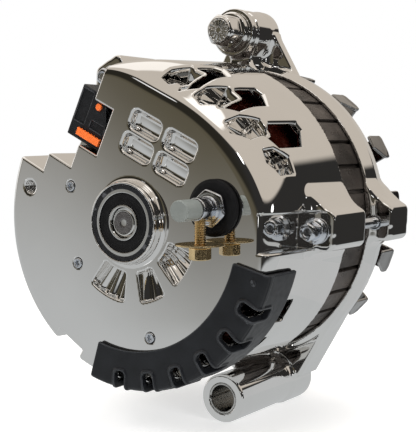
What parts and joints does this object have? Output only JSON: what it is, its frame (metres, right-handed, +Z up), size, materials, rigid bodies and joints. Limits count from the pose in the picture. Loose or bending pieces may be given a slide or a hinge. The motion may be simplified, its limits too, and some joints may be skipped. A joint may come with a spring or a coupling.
{
  "type": "car alternator",
  "caption": "Chrome-cased car alternator with a stepped vented rear face, pivot foot, adjuster ear, output post, external fan and ribbed pulley on a claw-pole rotor.",
  "frame": {"origin": "centre of the pivot bore in the foot, at the foot's rear face, where the pivot bolt leaves the bore", "axes": "+Y along the shaft, from the vented rear face towards the fan and pulley; +Z up, from the pivot foot to the adjuster ear; +X towards the output post"},
  "size_m": [0.1771, 0.2035, 0.2226],
  "materials": {
    "chrome_casting": "polished and chrome plated",
    "chrome_sheet": "chrome plated pressing",
    "bright_steel": "zinc plated",
    "bearing_steel": "ground",
    "lamination_steel": "stacked sheets, lacquered",
    "rotor_steel": "forged, lacquered",
    "winding_copper": "enamelled copper wire",
    "slip_copper": "turned copper",
    "terminal_brass": "plain",
    "plate_aluminium": "pressed",
    "black_plastic": "moulded, satin",
    "dark_rubber": "moulded",
    "grey_plastic": "moulded",
    "orange_plastic": "moulded",
    "brush_carbon": "pressed carbon"
  },
  "bodies": {
    "root": {"rear_housing": "chrome_casting", "drive_end_frame": "chrome_casting", "foot_bushing": "bright_steel", "stator_core": "lamination_steel", "stator_winding": "winding_copper", "rear_bearing_outer": "bearing_steel", "rear_bearing_seal": "dark_rubber", "rear_bearing_sleeve": "black_plastic", "front_bearing_outer": "bearing_steel", "bearing_retainer": "bright_steel", "retainer_screw_1": "bright_steel", "retainer_screw_2": "bright_steel", "retainer_screw_3": "bright_steel", "brush_holder": "black_plastic", "brush_spring_1": "bright_steel", "brush_spring_2": "bright_steel", "regulator": "black_plastic", "connector_socket": "black_plastic", "connector_lock": "orange_plastic", "heat_sink_negative": "plate_aluminium", "heat_sink_positive": "plate_aluminium", "diode_1": "bright_steel", "diode_2": "bright_steel", "diode_3": "bright_steel", "diode_4": "bright_steel", "diode_5": "bright_steel", "diode_6": "bright_steel", "capacitor": "black_plastic", "output_post": "bright_steel", "post_insulator": "dark_rubber", "post_flange": "bright_steel", "post_cap": "grey_plastic", "terminal_bolt": "terminal_brass", "terminal_washer": "terminal_brass", "baffle": "black_plastic", "through_bolt_1": "bright_steel", "through_bolt_2": "bright_steel", "through_bolt_3": "bright_steel", "face_screw_1": "bright_steel", "face_screw_2": "bright_steel", "face_screw_3": "bright_steel", "ear_bolt": "chrome_sheet"},
    "rotor": {"rotor_shaft": "bearing_steel", "pole_rear": "rotor_steel", "pole_front": "rotor_steel", "field_coil": "winding_copper", "slip_ring_sleeve": "black_plastic", "slip_ring_1": "slip_copper", "slip_ring_2": "slip_copper", "rear_bearing_inner": "bearing_steel", "front_bearing_inner": "bearing_steel", "fan": "chrome_sheet", "shaft_spacer": "bright_steel", "pulley": "chrome_sheet", "pulley_washer": "bright_steel", "pulley_nut": "bright_steel"},
    "rear_ball_cage": {"rear_bearing_balls": "bearing_steel"},
    "front_ball_cage": {"front_bearing_balls": "bearing_steel"},
    "brush_rear": {"brush_1": "brush_carbon"},
    "brush_front": {"brush_2": "brush_carbon"}
  },
  "joints": [
    {"name": "rotor_spin", "type": "hinge", "parent": "root", "child": "rotor", "pos_m": [-0.022, 0, 0.0954], "axis": [0, 1, 0], "continuous": true},
    {"name": "rear_cage_spin", "type": "hinge", "parent": "root", "child": "rear_ball_cage", "pos_m": [-0.022, 0, 0.0954], "axis": [0, 1, 0], "continuous": true},
    {"name": "front_cage_spin", "type": "hinge", "parent": "root", "child": "front_ball_cage", "pos_m": [-0.022, 0, 0.0954], "axis": [0, 1, 0], "continuous": true},
    {"name": "brush_rear_slide", "type": "slide", "parent": "root", "child": "brush_rear", "axis": [0, 0, 1], "range_m": [0, 0.005], "stiffness_N_per_m": 300, "deforming": ["brush_spring_1"]},
    {"name": "brush_front_slide", "type": "slide", "parent": "root", "child": "brush_front", "axis": [0, 0, 1], "range_m": [0, 0.005], "stiffness_N_per_m": 300, "deforming": ["brush_spring_2"]}
  ],
  "couplings": [
    {"joint": "rear_cage_spin", "follows": "rotor_spin", "ratio": 0.396},
    {"joint": "front_cage_spin", "follows": "rotor_spin", "ratio": 0.395}
  ]
}
